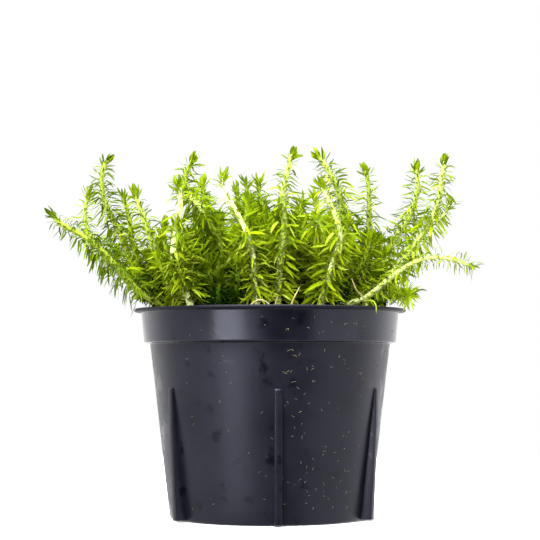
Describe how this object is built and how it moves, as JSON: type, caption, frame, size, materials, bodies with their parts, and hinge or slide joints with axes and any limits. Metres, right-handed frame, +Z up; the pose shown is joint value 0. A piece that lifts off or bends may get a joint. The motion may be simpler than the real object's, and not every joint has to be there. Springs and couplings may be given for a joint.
{
  "type": "potted aquatic plant",
  "caption": "Clump of slender leafy water-plant shoots, stream bogmoss, growing in a round dark nursery pot with a rimmed collar.",
  "frame": {"origin": "centre of the pot's flat base", "axes": "+Z up along the pot's axis; +X to the right as the picture shows it; the pictured front faces -Y"},
  "size_m": [0.165, 0.1313, 0.1446],
  "materials": {
    "pot_plastic": "satin slate-black moulded plastic with a film of moisture",
    "peat": "wet, matte and crumbly",
    "leaf": "soft, translucent fresh green with paler stems",
    "straw": "dry and pale"
  },
  "bodies": {
    "root": {"pot": "pot_plastic", "soil": "peat", "shoot_left_low": "leaf", "shoot_left_tall": "leaf", "shoot_left_pale": "leaf", "shoot_left_mid": "leaf", "shoot_left_inner": "leaf", "shoot_left_bare": "leaf", "shoot_left_front": "leaf", "shoot_middle_left_tall": "leaf", "shoot_middle_left_back": "leaf", "shoot_middle_bright": "leaf", "shoot_middle_back": "leaf", "shoot_middle_upright": "leaf", "shoot_middle_tallest": "leaf", "shoot_right_nodding": "leaf", "shoot_right_pale": "leaf", "shoot_right_yellow": "leaf", "shoot_right_slim": "leaf", "shoot_right_tall": "leaf", "shoot_right_outer": "leaf", "shoot_right_arching": "leaf", "shoot_right_low": "leaf", "shoot_back_low_left": "leaf", "shoot_back_arching": "leaf", "shoot_back_left_tall": "leaf", "shoot_back_right_tall": "leaf", "shoot_back_middle_tall": "leaf", "shoot_back_right_outer": "leaf", "shoot_back_left_outer": "leaf", "shoot_filler_01": "leaf", "shoot_filler_02": "leaf", "shoot_filler_03": "leaf", "shoot_filler_04": "leaf", "shoot_filler_05": "leaf", "shoot_filler_06": "leaf", "shoot_filler_07": "leaf", "shoot_filler_08": "leaf", "shoot_filler_09": "leaf", "shoot_filler_10": "leaf", "shoot_filler_11": "leaf", "shoot_filler_12": "leaf", "shoot_filler_13": "leaf", "shoot_filler_14": "leaf", "shoot_filler_15": "leaf", "shoot_filler_16": "leaf", "shoot_filler_17": "leaf", "shoot_filler_18": "leaf", "shoot_filler_19": "leaf", "shoot_filler_20": "leaf", "shoot_filler_21": "leaf", "shoot_filler_22": "leaf", "shoot_filler_23": "leaf", "shoot_filler_24": "leaf", "straw_arch": "straw", "straw_leaning": "straw", "straw_short": "straw", "straw_strand": "straw", "leaf_over_lip": "straw"}
  },
  "joints": []
}
